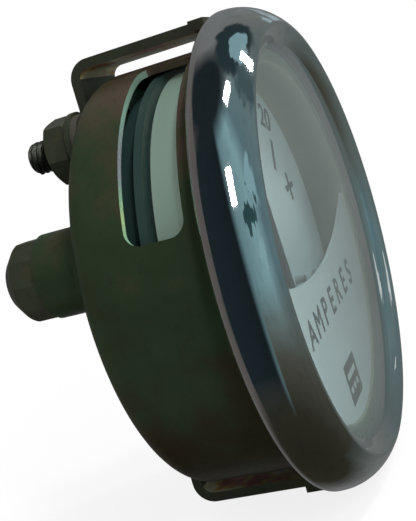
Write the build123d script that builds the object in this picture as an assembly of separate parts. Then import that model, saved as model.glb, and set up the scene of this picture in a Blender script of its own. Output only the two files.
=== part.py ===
from build123d import *
import math
import os

os.makedirs("parts", exist_ok=True)

# Frame: the origin is the centre of the bezel's rear face, where the panel bears.
# The dial faces minus Y, the rear is plus Y, the dial's upright is plus Z.

# Case cup
case_r = 26.0
sheet_t = 0.8
case_rear_y = 16.2
case_corner_r = 2.4
case_flange_w = 2.6
case_turn = 4.5          # the case sits turned this many degrees under the dial

# Two light slots in the case wall, left and right of the strap
slot_front_y = 2.3
slot_width = 6.9
slot_top_angle = 13.5    # from the upright
slot_low_angle = 74.0
slot_corner_r = 1.8
slot_steps = 6

# Lamp neck drawn out of the rear wall
neck_inset = 9.8         # from the case wall to the neck's centre
neck_angle = -70.5       # from the upright
neck_r = 5.0
neck_flare_r = 2.2
neck_end_y = 23.2

# Bezel
bezel_t = 0.6
bezel_flange_gap = 0.3
bezel_round_r = 6.5
bezel_round_y = -1.3
bezel_crest_in = 3.2     # from the bezel's side to its foremost ridge
bezel_crest_r = 0.5
bezel_mouth_gap = 0.2
bezel_foot_w = 1.1
bezel_slope_swell = 0.12
bezel_lip_gap = 1.0
bezel_edge_r = 1.2

# Glass and gasket
glass_overlap = 2.3
glass_front_y = -5.6
glass_t = 1.2
gasket_overlap = 1.0
gasket_gap = 0.3

# Light ring
ring_gap = 1.2
ring_wall = 1.7
ring_ledge_w = 1.0
ring_front_y = -4.0
ring_rear_y = 6.3
ring_flange_gap = 0.3
ring_flange_t = 1.2
mask_ledge_w = 0.7
mask_ledge_t = 0.8
mask_ledge_top_z = -4.5

# Dark screen behind the light ring: a shoulder, a rim and a skirt
screen_bore_gap = 0.2    # clear of the space that the movement's frame may fill
screen_shoulder_gap = 0.9
screen_shoulder_t = 0.7
screen_rim_gap = 0.5
screen_rim_t = 1.0
screen_wall = 0.7
screen_skirt_l = 2.8

# Mask and scale plates
mask_front_y = -3.7
mask_t = 0.5
mask_edge_r = 56.0
mask_edge_z = -3.3
plate_front_y = 1.1
plate_t = 0.6
plate_gap = 0.1
plate_hole_r = 2.2

# Pivot of the pointer
pivot_inset = 18.0       # from the case wall, straight below the dial's centre
sweep_angle = 36.0

# Pointer
pointer_y = 0.45
pointer_t = 0.3
pointer_tip_gap = 0.3
pointer_root_w = 1.9
pointer_tip_w = 0.7
pointer_tail = 6.4
pointer_tail_w = 1.6
hub_r = 1.5
hub_front_y = 0.1
hub_rear_y = 2.6
weight_r = 1.5
weight_t = 1.0
weight_drop = 5.2

# Staff, armature and bearings
staff_r = 0.6
staff_front_y = 0.3
staff_rear_y = 11.1
running_gap = 0.05
armature_y = 7.2
armature_t = 1.0
armature_half = 5.0
armature_w = 3.6
armature_hub_r = 1.5
bush_r = 1.6
bush_front_y = 3.2
bush_rear_y = 4.6
foot_bearing_r = 1.8
foot_bearing_front_y = 8.6
foot_bearing_rear_y = 11.7
foot_bearing_floor = 0.4

# Magnet
magnet_front_y = 6.6
magnet_r = 10.0
magnet_wall = 3.5
magnet_mouth = 8.0

# Movement frame and bridge
frame_front_y = 9.0
frame_t = 1.2
frame_limit_gap = 3.2
frame_low_z = -18.0
frame_half_w = 19.0
frame_shoulder_z = -5.0
frame_top_z = 12.0
frame_top_half_w = 4.5
bridge_y = 3.4
bridge_t = 1.0
bridge_half_w = 16.4
bridge_leg_t = 1.6
bridge_h = 4.6

# Dial pillars and their screws
dial_post_x = 12.5
dial_post_rise = 0.3     # above the pivot
dial_post_r = 1.9
dial_screw_head_r = 1.35
dial_screw_head_t = 0.8
dial_screw_r = 0.8
dial_screw_length = 3.0
screw_slot_w = 0.4
screw_slot_depth = 0.35
screw_slot_turn = 35.0

# Stop pins
stop_reach = 5.0
stop_r = 0.5
stop_slack = 2.0
stop_front_y = -0.2

# Frame pillars and their screws
frame_post_inset = 6.0   # lower pair, from the case wall
frame_post_angle = 126.87
frame_post_top_z = 9.0
frame_post_r = 2.0
frame_screw_head_r = 2.1
frame_screw_head_t = 0.9
frame_screw_r = 1.2
frame_screw_length = 5.0

# M4 studs, washers and nuts
stud_r = 2.0
stud_chamfer = 0.5
nut_flats = 7.0
nut_h = 3.0
nut_turn = 15.0
nut_chamfer_angle = 30.0
washer_r = 4.0
washer_t = 0.6

# Terminals
terminal_inset = 4.62    # from the case wall to the stud's centre
terminal_side_gap = 4.4977   # from the strap's edge to the stud's centre
bush_flange_r = 3.6
bush_flange_t = 0.8
bush_sleeve_r = 2.8
inner_washer_t = 1.2
bar_t = 1.2
bar_w = 4.4
bar_x = 5.0
bar_bend_z = 8.0
terminal_head_r = 3.2
terminal_head_t = 1.8
terminal_tip_y = 23.9

# Mounting bracket
bracket_w = 11.0
bracket_t = 1.2
bracket_top_gap = 1.6    # between the case wall and the strap
bracket_low_gap = 1.0
bracket_rear_y = 17.3
bracket_foot_y = 0.4
bracket_bend_r = 1.4
top_toe_l = 1.9
top_toe_step = 0.3
low_toe_l = 3.8
low_toe_step = 0.8
bracket_hole_r = 2.2
bracket_stud_head_r = 3.5
bracket_stud_head_t = 1.0
bracket_stud_tip_y = 26.0
spacer_r = 3.5
spring_washer_t = 1.0

# Lamp holder and bulb
holder_r = 4.6
holder_sides = 10
holder_end_y = 28.0
holder_taper_w = 1.9
holder_taper_l = 1.8
holder_round_r = 0.9
holder_plug_front_y = 16.8
holder_bore_r = 3.45
contact_ring_r = 2.0
contact_r = 1.2
contact_end_y = 28.6
bulb_base_r = 3.35
bulb_base_front_y = 15.6
bulb_base_rear_y = 24.0
bulb_r = 2.6
bulb_tip_y = 9.6
bulb_tip_flat_r = 0.1


def rod(x, z, r, y0, y1):
    """Round bar along Y."""
    bar = Cylinder(r, y1 - y0, align=(Align.CENTER, Align.CENTER, Align.MIN))
    return Pos(x, y0, z) * Rot(-90, 0, 0) * bar


def washer(x, z, r, hole, y0, y1):
    """Flat ring along Y."""
    return rod(x, z, r, y0, y1) - rod(x, z, hole, y0, y1)


def spun(points):
    """Solid of revolution about Y from outline points given as radius and Y."""
    return revolve(make_face(Polyline(*points, close=True)), Axis.Y, 360)


def spun_face(edges):
    """Solid of revolution about Y from joined outline edges."""
    return revolve(make_face(edges), Axis.Y, 360)


def slab(points, y0, y1):
    """Flat piece in the XZ plane, from outline points given as X and Z."""
    outline = [(x, y0, z) for x, z in points]
    return extrude(make_face(Polyline(*outline, close=True)), amount=y1 - y0, dir=(0, 1, 0))


def block(x0, x1, y0, y1, z0, z1):
    """Rectangular block between two corners."""
    middle = Pos((x0 + x1) / 2, (y0 + y1) / 2, (z0 + z1) / 2)
    return middle * Box(x1 - x0, y1 - y0, z1 - z0)


def polar(radius, angle):
    """X and Z of a point at an angle from the upright."""
    return radius * math.sin(math.radians(angle)), radius * math.cos(math.radians(angle))


def turned(shape):
    """Turns a piece with the case, about the meter's own axis."""
    return Rot(0, case_turn, 0) * shape


def save(shape, name):
    export_step(shape, f"parts/{name}.step")


# Derived values
case_bore_r = case_r - sheet_t
case_flange_r = case_r + case_flange_w
rear_wall_y = case_rear_y - sheet_t
flange_front_y = -bezel_t - sheet_t
inner_flat_r = case_r - case_corner_r
slot_rear_y = slot_front_y + slot_width
neck_x, neck_z = polar(case_r - neck_inset, neck_angle)
neck_bore_r = neck_r - sheet_t
ring_r = case_bore_r - ring_gap
ring_bore_r = ring_r - ring_wall
ring_rear_bore_r = ring_bore_r - ring_ledge_w
ring_flange_r = case_flange_r - ring_flange_gap
ring_flange_front_y = flange_front_y - ring_flange_t
mask_ledge_r = ring_bore_r - mask_ledge_w
glass_r = ring_r + glass_overlap
glass_rear_y = glass_front_y + glass_t
gasket_r = glass_r + gasket_overlap
bezel_r = case_flange_r + bezel_flange_gap + bezel_t
bezel_crest_cut_r = bezel_r - bezel_crest_in
bezel_mouth_r = ring_r + bezel_mouth_gap
bezel_lip_r = case_r + bezel_lip_gap
plate_rear_y = plate_front_y + plate_t
plate_r = ring_bore_r - plate_gap
pivot_z = pivot_inset - case_r
dial_post_z = pivot_z + dial_post_rise
pointer_length = ring_bore_r - pointer_tip_gap
frame_rear_y = frame_front_y + frame_t
frame_limit_r = case_bore_r - frame_limit_gap
screen_bore_r = frame_limit_r + screen_bore_gap
screen_skirt_r = screen_bore_r + screen_wall
screen_shoulder_r = ring_r - screen_shoulder_gap
screen_rim_r = case_bore_r - screen_rim_gap
screen_shoulder_y = ring_rear_y + screen_shoulder_t
screen_rim_y = screen_shoulder_y + screen_rim_t
screen_end_y = screen_rim_y + screen_skirt_l
post_x, post_z = polar(case_r - frame_post_inset, frame_post_angle)
frame_posts = [(-post_x, post_z), (post_x, post_z), (0.0, frame_post_top_z)]
magnet_bore_r = magnet_r - magnet_wall
terminal_x = bracket_w / 2 + terminal_side_gap
terminal_z = math.sqrt((case_r - terminal_inset) ** 2 - terminal_x ** 2)
bracket_top_z = case_r + bracket_top_gap
bracket_low_z = -case_r - bracket_low_gap
bracket_outer_y = bracket_rear_y + bracket_t


def lamp_neck():
    """Neck drawn from the rear sheet, with a flared root, about its own axis."""
    root_r = neck_r + neck_flare_r
    turn_y = case_rear_y + neck_flare_r
    mid = math.sqrt(0.5)
    inner_flare = neck_flare_r + sheet_t
    outline = [
        ThreePointArc(
            (root_r, case_rear_y),
            (root_r - neck_flare_r * mid, turn_y - neck_flare_r * mid),
            (neck_r, turn_y),
        ),
        Line((neck_r, turn_y), (neck_r, neck_end_y)),
        Line((neck_r, neck_end_y), (neck_bore_r, neck_end_y)),
        Line((neck_bore_r, neck_end_y), (neck_bore_r, turn_y)),
        ThreePointArc(
            (neck_bore_r, turn_y),
            (root_r - inner_flare * mid, turn_y - inner_flare * mid),
            (root_r, rear_wall_y),
        ),
        Line((root_r, rear_wall_y), (root_r, case_rear_y)),
    ]
    return Pos(neck_x, 0, neck_z) * spun_face(outline)


def fan(angle0, angle1, y0, y1):
    """Sector about the meter's axis, between two angles from the upright."""
    points = [(0, 0)]
    for i in range(slot_steps + 1):
        points.append(polar(2 * case_r, angle0 + (angle1 - angle0) * i / slot_steps))
    return slab(points, y0, y1)


def slot_cutter(side):
    """Window with round corners in the case wall, on one side of the strap."""
    corner = math.degrees(slot_corner_r / case_r)
    low_y = slot_front_y + slot_corner_r
    high_y = slot_rear_y - slot_corner_r
    angles = (side * (slot_top_angle + corner), side * (slot_low_angle - corner))
    cutter = fan(*angles, slot_front_y, slot_rear_y)
    cutter += fan(side * slot_top_angle, side * slot_low_angle, low_y, high_y)
    for angle in angles:
        for y in (low_y, high_y):
            end = Cylinder(slot_corner_r, 2 * case_r, align=(Align.CENTER, Align.CENTER, Align.MIN))
            cutter += Rot(0, angle, 0) * (Pos(0, y, 0) * end)
    return cutter


def make_case():
    outer = spun([
        (0, flange_front_y), (case_flange_r, flange_front_y), (case_flange_r, -bezel_t),
        (case_r, -bezel_t), (case_r, case_rear_y), (0, case_rear_y),
    ])
    outer = fillet(outer.edges().filter_by(GeomType.CIRCLE).group_by(Axis.Y)[-1], case_corner_r)
    inner = spun([
        (0, flange_front_y), (case_bore_r, flange_front_y),
        (case_bore_r, rear_wall_y), (0, rear_wall_y),
    ])
    last = inner.edges().filter_by(GeomType.CIRCLE).group_by(Axis.Y)[-1]
    inner = fillet(last, case_corner_r - sheet_t)
    cup = outer - inner - slot_cutter(-1) - slot_cutter(1)
    cup -= rod(neck_x, neck_z, neck_r + neck_flare_r, rear_wall_y - sheet_t, case_rear_y + sheet_t)
    cup += lamp_neck()
    for side in (-1, 1):
        cup -= rod(side * terminal_x, terminal_z, bush_sleeve_r, rear_wall_y - sheet_t, case_rear_y)
    cup -= rod(0, 0, stud_r, rear_wall_y, case_rear_y)
    for x, z in frame_posts:
        cup -= rod(x, z, frame_screw_r, rear_wall_y, case_rear_y)
    return turned(cup)


def make_bezel():
    """Thin spun ring: round front, slope turned in to the glass, lip rolled behind the flange."""
    def on_round(radius, r):
        return bezel_round_y - math.sqrt(radius**2 - (r - round_cx) ** 2)

    round_cx = bezel_r - bezel_round_r
    inner_round = bezel_round_r - bezel_t
    slant = math.sqrt(0.5)
    crest = (bezel_crest_cut_r, on_round(bezel_round_r, bezel_crest_cut_r))
    side = (round_cx + bezel_round_r * slant, bezel_round_y - bezel_round_r * slant)
    mouth = (bezel_mouth_r, glass_front_y)
    slope_mid = (
        (crest[0] + mouth[0]) / 2 - bezel_slope_swell,
        (crest[1] + mouth[1]) / 2 - bezel_slope_swell,
    )
    foot = (bezel_mouth_r + bezel_foot_w, glass_front_y)
    hollow_top = (bezel_crest_cut_r, on_round(inner_round, bezel_crest_cut_r))
    hollow_side = (round_cx + inner_round * slant, bezel_round_y - inner_round * slant)
    wall_r = bezel_r - bezel_t
    outline = [
        Line((bezel_lip_r, 0), (bezel_r - bezel_edge_r, 0)),
        ThreePointArc(
            (bezel_r - bezel_edge_r, 0),
            (bezel_r - bezel_edge_r * (1 - slant), -bezel_edge_r * (1 - slant)),
            (bezel_r, -bezel_edge_r),
        ),
        Line((bezel_r, -bezel_edge_r), (bezel_r, bezel_round_y)),
        ThreePointArc((bezel_r, bezel_round_y), side, crest),
        ThreePointArc(crest, slope_mid, mouth),
        Line(mouth, foot),
        Line(foot, hollow_top),
        ThreePointArc(hollow_top, hollow_side, (wall_r, bezel_round_y)),
        Line((wall_r, bezel_round_y), (wall_r, -bezel_t)),
        Line((wall_r, -bezel_t), (bezel_lip_r, -bezel_t)),
        Line((bezel_lip_r, -bezel_t), (bezel_lip_r, 0)),
    ]
    ring = spun_face(outline)
    ridge = ring.edges().filter_by(GeomType.CIRCLE).group_by(Axis.Y)[0]
    return fillet(ridge, bezel_crest_r)


def make_glass():
    return rod(0, 0, glass_r, glass_front_y, glass_rear_y)


def make_gasket():
    return washer(0, 0, gasket_r, ring_r + gasket_gap, glass_rear_y, ring_flange_front_y)


def make_light_ring():
    """Moulded ring with a clamping flange, a rear ledge and a low front ledge."""
    ring = spun([
        (ring_bore_r, ring_front_y), (ring_r, ring_front_y), (ring_r, ring_flange_front_y),
        (ring_flange_r, ring_flange_front_y), (ring_flange_r, flange_front_y),
        (ring_r, flange_front_y), (ring_r, ring_rear_y), (ring_rear_bore_r, ring_rear_y),
        (ring_rear_bore_r, plate_rear_y), (ring_bore_r, plate_rear_y),
    ])
    ledge_front_y = mask_front_y + mask_t
    ledge = washer(0, 0, ring_bore_r, mask_ledge_r, ledge_front_y, ledge_front_y + mask_ledge_t)
    low = block(-ring_r, ring_r, ring_front_y, ring_rear_y, -ring_r, mask_ledge_top_z)
    return ring + (ledge & low)


def make_screen():
    """Dark moulded ring behind the light ring, which hides the movement from the slots."""
    return spun([
        (screen_bore_r, ring_rear_y), (screen_shoulder_r, ring_rear_y),
        (screen_shoulder_r, screen_shoulder_y), (screen_rim_r, screen_shoulder_y),
        (screen_rim_r, screen_rim_y), (screen_skirt_r, screen_rim_y),
        (screen_skirt_r, screen_end_y), (screen_bore_r, screen_end_y),
    ])


def make_mask():
    """Lower half disc with a hollow upper edge."""
    disc = rod(0, 0, plate_r, mask_front_y, mask_front_y + mask_t)
    scoop = rod(0, mask_edge_z + mask_edge_r, mask_edge_r, mask_front_y, mask_front_y + mask_t)
    return disc - scoop


def stop_points():
    lean = math.degrees(math.asin((stop_r + pointer_root_w / 2) / stop_reach))
    a = math.radians(sweep_angle + stop_slack + lean)
    reach_x = stop_reach * math.sin(a)
    reach_z = pivot_z + stop_reach * math.cos(a)
    return [(-reach_x, reach_z), (reach_x, reach_z)]


def make_scale_plate():
    plate = rod(0, 0, plate_r, plate_front_y, plate_rear_y)
    plate -= rod(0, pivot_z, plate_hole_r, plate_front_y, plate_rear_y)
    for side in (-1, 1):
        plate -= rod(side * dial_post_x, dial_post_z, dial_screw_r, plate_front_y, plate_rear_y)
    for x, z in stop_points():
        plate -= rod(x, z, stop_r, plate_front_y, plate_rear_y)
    return plate


def make_stop_pins():
    return Compound([rod(x, z, stop_r, stop_front_y, plate_rear_y) for x, z in stop_points()])


def dial_screw(side):
    """Cheese head screw with a driver slot."""
    x = side * dial_post_x
    front_y = plate_front_y - dial_screw_head_t
    head = rod(x, dial_post_z, dial_screw_head_r, front_y, plate_front_y)
    shank = rod(x, dial_post_z, dial_screw_r, plate_front_y, plate_front_y + dial_screw_length)
    cut = Box(3 * dial_screw_head_r, 2 * screw_slot_depth, screw_slot_w)
    return head + shank - Pos(x, front_y, dial_post_z) * Rot(0, screw_slot_turn * side, 0) * cut


def dial_post(side):
    x = side * dial_post_x
    return washer(x, dial_post_z, dial_post_r, dial_screw_r, plate_rear_y, bridge_y)


def make_pointer():
    """Tapered blade with a tail, and a hub on the staff."""
    y1 = pointer_y + pointer_t
    blade = slab([
        (-pointer_tail_w / 2, pivot_z - pointer_tail), (pointer_tail_w / 2, pivot_z - pointer_tail),
        (pointer_root_w / 2, pivot_z), (pointer_tip_w / 2, pivot_z + pointer_length),
        (-pointer_tip_w / 2, pivot_z + pointer_length), (-pointer_root_w / 2, pivot_z),
    ], pointer_y, y1)
    hub = rod(0, pivot_z, hub_r, hub_front_y, hub_rear_y)
    return blade + hub - rod(0, pivot_z, staff_r, staff_front_y, hub_rear_y)


def make_weight():
    return rod(0, pivot_z - weight_drop, weight_r, pointer_y - weight_t, pointer_y)


def make_staff():
    return rod(0, pivot_z, staff_r, staff_front_y, staff_rear_y)


def make_armature():
    """Soft iron vane, long across the staff."""
    y1 = armature_y + armature_t
    vane = slab([
        (-armature_half, pivot_z), (-armature_half / 2, pivot_z - armature_w / 2),
        (armature_half / 2, pivot_z - armature_w / 2), (armature_half, pivot_z),
        (armature_half / 2, pivot_z + armature_w / 2), (-armature_half / 2, pivot_z + armature_w / 2),
    ], armature_y, y1)
    hub = rod(0, pivot_z, armature_hub_r, armature_y - armature_t / 2, y1)
    return vane + hub - rod(0, pivot_z, staff_r, armature_y - armature_t / 2, y1)


def make_front_bush():
    return washer(0, pivot_z, bush_r, staff_r + running_gap, bush_front_y, bush_rear_y)


def make_foot_bearing():
    body = rod(0, pivot_z, foot_bearing_r, foot_bearing_front_y, foot_bearing_rear_y)
    floor_y = foot_bearing_rear_y - foot_bearing_floor
    return body - rod(0, pivot_z, staff_r + running_gap, foot_bearing_front_y, floor_y)


def make_magnet():
    ring = washer(0, pivot_z, magnet_r, magnet_bore_r, magnet_front_y, frame_front_y)
    mouth = block(-magnet_mouth / 2, magnet_mouth / 2, magnet_front_y, frame_front_y,
                  pivot_z, pivot_z + 2 * magnet_r)
    return ring - mouth


def make_frame():
    """Flat plate that carries the bearings, on three pillars."""
    plate = slab([
        (-frame_half_w, frame_low_z), (frame_half_w, frame_low_z),
        (frame_half_w, frame_shoulder_z), (frame_top_half_w, frame_top_z),
        (-frame_top_half_w, frame_top_z), (-frame_half_w, frame_shoulder_z),
    ], frame_front_y, frame_rear_y)
    plate &= rod(0, 0, frame_limit_r, frame_front_y, frame_rear_y)
    plate -= rod(0, pivot_z, foot_bearing_r, frame_front_y, frame_rear_y)
    return plate


def make_bridge():
    """Bridge over the armature that holds the front bush and carries the dial posts."""
    z0 = pivot_z - bridge_h / 2
    z1 = pivot_z + bridge_h / 2
    y1 = bridge_y + bridge_t
    bridge = block(-bridge_half_w, bridge_half_w, bridge_y, y1, z0, z1)
    for side in (-1, 1):
        mid = side * (bridge_half_w - bridge_leg_t / 2)
        half = bridge_leg_t / 2
        bridge += block(mid - half, mid + half, y1, frame_front_y, z0, z1)
        bridge -= rod(side * dial_post_x, dial_post_z, dial_screw_r, bridge_y, y1)
    return bridge - rod(0, pivot_z, bush_r, bridge_y, y1)


def frame_post(x, z):
    post = rod(x, z, frame_post_r, frame_rear_y, rear_wall_y)
    return post - rod(x, z, frame_screw_r, case_rear_y - frame_screw_length, rear_wall_y)


def frame_screw(x, z):
    head_end_y = case_rear_y + frame_screw_head_t
    head = rod(x, z, frame_screw_head_r, case_rear_y, head_end_y)
    shank = rod(x, z, frame_screw_r, case_rear_y - frame_screw_length, case_rear_y)
    cut = Box(3 * frame_screw_head_r, 2 * screw_slot_depth, 2 * screw_slot_w)
    return head + shank - Pos(x, head_end_y, z) * cut


def pointed_bar(x, z, y0, y1):
    """Stud shank with a chamfered free end."""
    bar = rod(x, z, stud_r, y0, y1)
    tip = bar.edges().filter_by(GeomType.CIRCLE).group_by(Axis.Y)[-1]
    return chamfer(tip, stud_chamfer)


def hex_nut(x, z, y0):
    """Hexagon nut, chamfered on both faces."""
    y1 = y0 + nut_h
    corner_r = nut_flats / math.sqrt(3)
    points = []
    for i in range(6):
        a = math.radians(60 * i + nut_turn)
        points.append((x + corner_r * math.cos(a), z + corner_r * math.sin(a)))
    nut = slab(points, y0, y1)
    face_r = nut_flats / 2
    over = corner_r - face_r
    drop = over * math.tan(math.radians(nut_chamfer_angle))
    cone = spun([
        (0, y0), (face_r, y0), (corner_r, y0 + drop),
        (corner_r, y1 - drop), (face_r, y1), (0, y1),
    ])
    nut &= Pos(x, 0, z) * cone
    return nut - rod(x, z, stud_r, y0, y1)


def terminal_stack(side):
    """Stud, bushes, washer and nut of one terminal, as named solids."""
    x = side * terminal_x
    z = terminal_z
    flange_y = case_rear_y + bush_flange_t
    washer_y = flange_y + washer_t
    inner_y = rear_wall_y - inner_washer_t
    bar_front_y = inner_y - bar_t
    bush = rod(x, z, bush_flange_r, case_rear_y, flange_y)
    bush += rod(x, z, bush_sleeve_r, rear_wall_y, case_rear_y)
    bush -= rod(x, z, stud_r, rear_wall_y, flange_y)
    shank = pointed_bar(x, z, bar_front_y, terminal_tip_y)
    head = rod(x, z, terminal_head_r, bar_front_y - terminal_head_t, bar_front_y)
    inner = washer(x, z, bush_flange_r, stud_r, inner_y, rear_wall_y)
    return {
        "terminal_bushes": bush,
        "inner_washers": inner & rod(0, 0, inner_flat_r, inner_y, rear_wall_y),
        "terminal_washers": washer(x, z, washer_r, stud_r, flange_y, washer_y),
        "hex_nuts": hex_nut(x, z, washer_y),
        "terminal_studs": shank + head,
    }


def make_bar():
    """Heavy hairpin strip between the terminals, passing behind the armature."""
    y1 = rear_wall_y - inner_washer_t
    half = bar_w / 2
    outline = []
    for side in (-1, 1):
        legs = [
            (side * (terminal_x + half), terminal_z + half),
            (side * (terminal_x + half), terminal_z - half),
            (side * (bar_x + half), bar_bend_z),
            (side * (bar_x + half), pivot_z - half),
        ]
        outline += legs if side < 0 else legs[::-1]
    inside = []
    for side in (1, -1):
        legs = [
            (side * (terminal_x - half), terminal_z + half),
            (side * (terminal_x - half), terminal_z - half / 2),
            (side * (bar_x - half), bar_bend_z),
            (side * (bar_x - half), pivot_z + half),
        ]
        inside += legs if side > 0 else legs[::-1]
    bar = slab(outline + inside, y1 - bar_t, y1)
    for side in (-1, 1):
        bar -= rod(side * terminal_x, terminal_z, stud_r, y1 - bar_t, y1)
    return bar


def make_bracket():
    """U strap bent from strip, with stepped toes that bear behind the panel."""
    half = bracket_w / 2
    top = bracket_top_z + bracket_t
    low = bracket_low_z - bracket_t
    outer = block(-half, half, bracket_foot_y, bracket_outer_y, low, top)
    corners = outer.edges().filter_by(Axis.X).group_by(Axis.Y)[-1]
    outer = fillet(corners, bracket_bend_r + bracket_t)
    hollow = block(-half, half, bracket_foot_y, bracket_rear_y, bracket_low_z, bracket_top_z)
    corners = hollow.edges().filter_by(Axis.X).group_by(Axis.Y)[-1]
    strap = outer - fillet(corners, bracket_bend_r)
    top_y = bracket_foot_y + top_toe_l
    low_y = bracket_foot_y + low_toe_l
    kink = bracket_t / 2
    strap += block(-half, half, bracket_foot_y, top_y, top, top + top_toe_step)
    strap += block(-half, half, bracket_foot_y, low_y, low - low_toe_step, low)
    strap -= block(-half, half, bracket_foot_y, top_y - kink, bracket_top_z, bracket_top_z + top_toe_step)
    strap -= block(-half, half, bracket_foot_y, low_y - kink, bracket_low_z - low_toe_step, bracket_low_z)
    return strap - rod(0, 0, bracket_hole_r, bracket_rear_y, bracket_outer_y)


def make_bracket_stud():
    shank = pointed_bar(0, 0, rear_wall_y - bracket_stud_head_t, bracket_stud_tip_y)
    head = rod(0, 0, bracket_stud_head_r, rear_wall_y - bracket_stud_head_t, rear_wall_y)
    return shank + head


def make_holder():
    """Lamp holder shell: plug in the neck, faceted grip, tapered end."""
    corner_r = holder_r / math.cos(math.pi / holder_sides)
    grip = extrude(
        Plane.XZ * RegularPolygon(corner_r, holder_sides), amount=neck_end_y - holder_end_y)
    grip = Pos(neck_x, neck_end_y, neck_z) * grip
    cap = rod(neck_x, neck_z, corner_r, neck_end_y, holder_end_y)
    end = cap.edges().filter_by(GeomType.CIRCLE).group_by(Axis.Y)[-1]
    cap = chamfer(end, holder_taper_l, holder_taper_w)
    cap = fillet(cap.edges().filter_by(GeomType.CIRCLE).group_by(Axis.Y)[1:], holder_round_r)
    shell = grip & cap
    shell += rod(neck_x, neck_z, neck_bore_r, holder_plug_front_y, neck_end_y)
    shell -= rod(neck_x, neck_z, holder_bore_r, holder_plug_front_y, bulb_base_rear_y)
    return shell - rod(neck_x, neck_z, contact_ring_r, bulb_base_rear_y, holder_end_y)


def make_contact():
    return rod(neck_x, neck_z, contact_r, bulb_base_rear_y, contact_end_y)


def make_contact_ring():
    return washer(neck_x, neck_z, contact_ring_r, contact_r, bulb_base_rear_y, holder_end_y)


def make_bulb_base():
    return rod(neck_x, neck_z, bulb_base_r, bulb_base_front_y, bulb_base_rear_y)


def make_bulb():
    body = rod(neck_x, neck_z, bulb_r, bulb_tip_y, bulb_base_front_y)
    tip = body.edges().filter_by(GeomType.CIRCLE).group_by(Axis.Y)[0]
    return fillet(tip, bulb_r - bulb_tip_flat_r)


# Front pieces
save(make_case(), "case")
save(make_bezel(), "bezel")
save(make_glass(), "glass")
save(make_gasket(), "gasket")
save(make_light_ring(), "light_ring")
save(make_screen(), "light_screen")
save(make_mask(), "mask_plate")
save(make_scale_plate(), "scale_plate")
save(make_stop_pins(), "stop_pins")
save(Compound([dial_screw(side) for side in (-1, 1)]), "dial_screws")
save(Compound([dial_post(side) for side in (-1, 1)]), "dial_posts")

# Moving pieces
save(make_pointer(), "pointer")
save(make_weight(), "counterweight")
save(make_staff(), "staff")
save(make_armature(), "armature")

# Movement frame
save(make_front_bush(), "front_bush")
save(make_foot_bearing(), "foot_bearing")
save(make_magnet(), "magnet")
save(make_frame(), "frame_plate")
save(make_bridge(), "bridge")
save(turned(Compound([frame_post(x, z) for x, z in frame_posts])), "frame_posts")
save(turned(Compound([frame_screw(x, z) for x, z in frame_posts])), "frame_screws")

# Terminals and their strip
stacks = [terminal_stack(-1), terminal_stack(1)]
nuts = [stack["hex_nuts"] for stack in stacks]
nuts.append(hex_nut(0, 0, bracket_outer_y + spring_washer_t))
save(turned(Compound(nuts)), "hex_nuts")
for name in ("terminal_bushes", "inner_washers", "terminal_washers", "terminal_studs"):
    save(turned(Compound([stack[name] for stack in stacks])), name)
save(turned(make_bar()), "current_bar")

# Mounting bracket
spring_y = bracket_outer_y + spring_washer_t
save(turned(make_bracket()), "bracket")
save(turned(make_bracket_stud()), "bracket_stud")
save(turned(washer(0, 0, spacer_r, stud_r, case_rear_y, bracket_rear_y)), "bracket_spacer")
save(turned(washer(0, 0, washer_r, stud_r, bracket_outer_y, spring_y)), "spring_washer")

# Lamp
save(turned(make_holder()), "lamp_holder")
save(turned(make_contact()), "lamp_contact")
save(turned(make_contact_ring()), "contact_ring")
save(turned(make_bulb_base()), "bulb_base")
save(turned(make_bulb()), "bulb")
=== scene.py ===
# %% [markdown]
# # A small round panel meter
# The object is a centre-zero ammeter: a plated steel cup, a chromed rim rolled over it, a glass, a lit
# white dial and a strap bracket behind. The shapes come from a imported CAD model, in metres, with the dial
# facing minus Y. This script gives them their finishes and adds what solids show badly: thread and print.

# %% Load the imported model
import math

import bmesh
import bpy
from mathutils import Matrix, Quaternion, Vector


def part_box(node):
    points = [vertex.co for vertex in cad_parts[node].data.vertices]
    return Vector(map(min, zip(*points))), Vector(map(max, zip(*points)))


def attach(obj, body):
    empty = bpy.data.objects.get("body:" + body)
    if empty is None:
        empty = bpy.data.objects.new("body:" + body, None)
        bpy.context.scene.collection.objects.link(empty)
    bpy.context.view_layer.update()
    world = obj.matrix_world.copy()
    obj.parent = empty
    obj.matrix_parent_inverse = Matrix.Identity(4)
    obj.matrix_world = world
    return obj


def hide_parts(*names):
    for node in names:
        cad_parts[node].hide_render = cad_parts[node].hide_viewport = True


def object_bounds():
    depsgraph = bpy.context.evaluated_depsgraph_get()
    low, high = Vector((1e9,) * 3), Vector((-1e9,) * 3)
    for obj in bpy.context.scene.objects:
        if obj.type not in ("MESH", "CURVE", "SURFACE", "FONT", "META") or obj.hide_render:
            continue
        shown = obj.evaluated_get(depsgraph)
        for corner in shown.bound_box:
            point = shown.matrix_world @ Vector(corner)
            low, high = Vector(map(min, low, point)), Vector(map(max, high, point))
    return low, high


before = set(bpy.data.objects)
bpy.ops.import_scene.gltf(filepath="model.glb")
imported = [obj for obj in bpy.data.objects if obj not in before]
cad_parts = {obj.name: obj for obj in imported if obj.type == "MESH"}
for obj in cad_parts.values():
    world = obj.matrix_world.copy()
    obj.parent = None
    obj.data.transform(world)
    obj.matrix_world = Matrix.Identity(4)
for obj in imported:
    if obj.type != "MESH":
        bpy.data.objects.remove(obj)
cad_box = [list(corner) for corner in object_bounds()]
scene = bpy.context.scene
scene.view_settings.view_transform = "Standard"
MM = 0.001
print("nodes:", len(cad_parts), "box in mm:", [[round(v / MM, 1) for v in c] for c in cad_box])

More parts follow.
